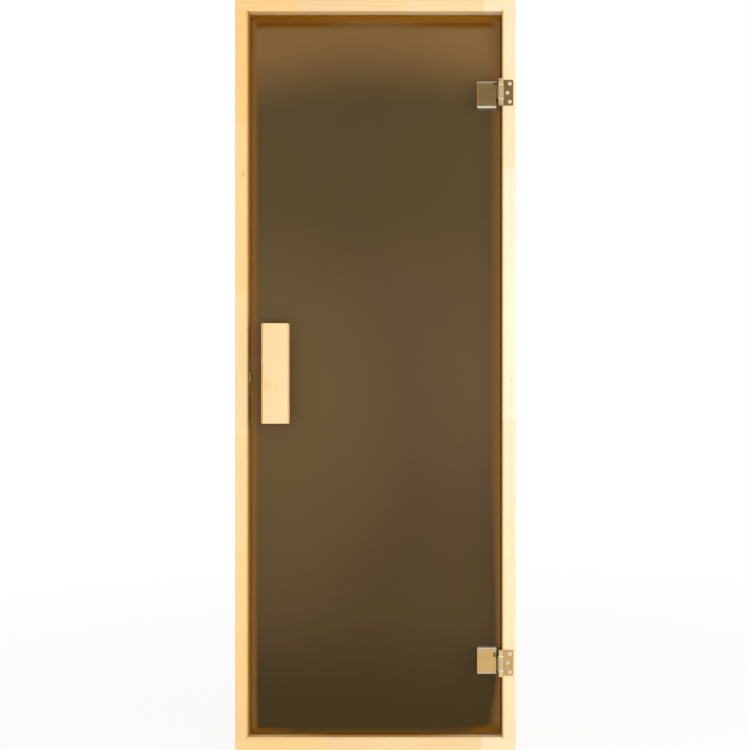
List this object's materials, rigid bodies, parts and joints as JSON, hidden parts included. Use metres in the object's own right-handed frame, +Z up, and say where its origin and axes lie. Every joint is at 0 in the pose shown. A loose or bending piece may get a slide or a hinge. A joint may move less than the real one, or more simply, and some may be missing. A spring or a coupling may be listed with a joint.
{
  "type": "sauna door",
  "caption": "Satin bronze glass door leaf hung on the right in a rebated pine frame, with wooden pulls on both faces, offset hinges and a roller catch.",
  "frame": {"origin": "middle of the sill's underside, half way through the frame's depth", "axes": "+X across the doorway towards the hinges, +Y from the front of the frame to its back, +Z up"},
  "size_m": [0.7, 0.1135, 1.88],
  "materials": {
    "frame_wood": "planed, unvarnished",
    "handle_wood": "planed, unvarnished",
    "bronze_glass": "satin etched",
    "hinge_steel": "plated, satin",
    "bright_steel": "plated, bright",
    "seal_rubber": "matt",
    "pad_plastic": "matt"
  },
  "bodies": {
    "frame": {"frame_head": "frame_wood", "frame_sill": "frame_wood", "hinge_stile": "frame_wood", "latch_stile": "frame_wood", "head_seal": "seal_rubber", "sill_seal": "seal_rubber", "hinge_side_seal": "seal_rubber", "latch_side_seal": "seal_rubber", "catch_face_plate": "bright_steel", "catch_case": "bright_steel", "upper_hinge_frame_leaf": "hinge_steel", "upper_hinge_pin": "bright_steel", "upper_hinge_washers": "bright_steel", "lower_hinge_frame_leaf": "hinge_steel", "lower_hinge_pin": "bright_steel", "lower_hinge_washers": "bright_steel"},
    "door": {"door_glass": "bronze_glass", "handle_bolts": "bright_steel", "upper_hinge_arm": "hinge_steel", "upper_hinge_cover": "hinge_steel", "upper_hinge_back_plate": "hinge_steel", "upper_hinge_clamp_bolts": "bright_steel", "upper_hinge_front_pad": "pad_plastic", "upper_hinge_rear_pad": "pad_plastic", "lower_hinge_arm": "hinge_steel", "lower_hinge_cover": "hinge_steel", "lower_hinge_back_plate": "hinge_steel", "lower_hinge_clamp_bolts": "bright_steel", "lower_hinge_front_pad": "pad_plastic", "lower_hinge_rear_pad": "pad_plastic", "outer_handle": "handle_wood", "outer_handle_block": "handle_wood", "outer_handle_plugs": "handle_wood", "inner_handle": "handle_wood", "inner_handle_block": "handle_wood", "inner_handle_plugs": "handle_wood"},
    "catch_slider": {"catch_yoke": "bright_steel", "catch_roller_pin": "bright_steel"},
    "catch_wheel": {"catch_roller": "bright_steel"}
  },
  "joints": [
    {"name": "door_hinge", "type": "hinge", "parent": "frame", "child": "door", "pos_m": [0.315, -0.0515, 0.931], "axis": [0, 0, 1], "range_deg": [0, 170]},
    {"name": "catch_slide", "type": "slide", "parent": "frame", "child": "catch_slider", "axis": [-1, 0, 0], "range_m": [0, 0.0065], "stiffness_N_per_m": 2000, "springref_m": -0.004},
    {"name": "roller_spin", "type": "hinge", "parent": "catch_slider", "child": "catch_wheel", "pos_m": [-0.318, -0.0293, 0.932], "axis": [0, 0, 1], "continuous": true}
  ]
}
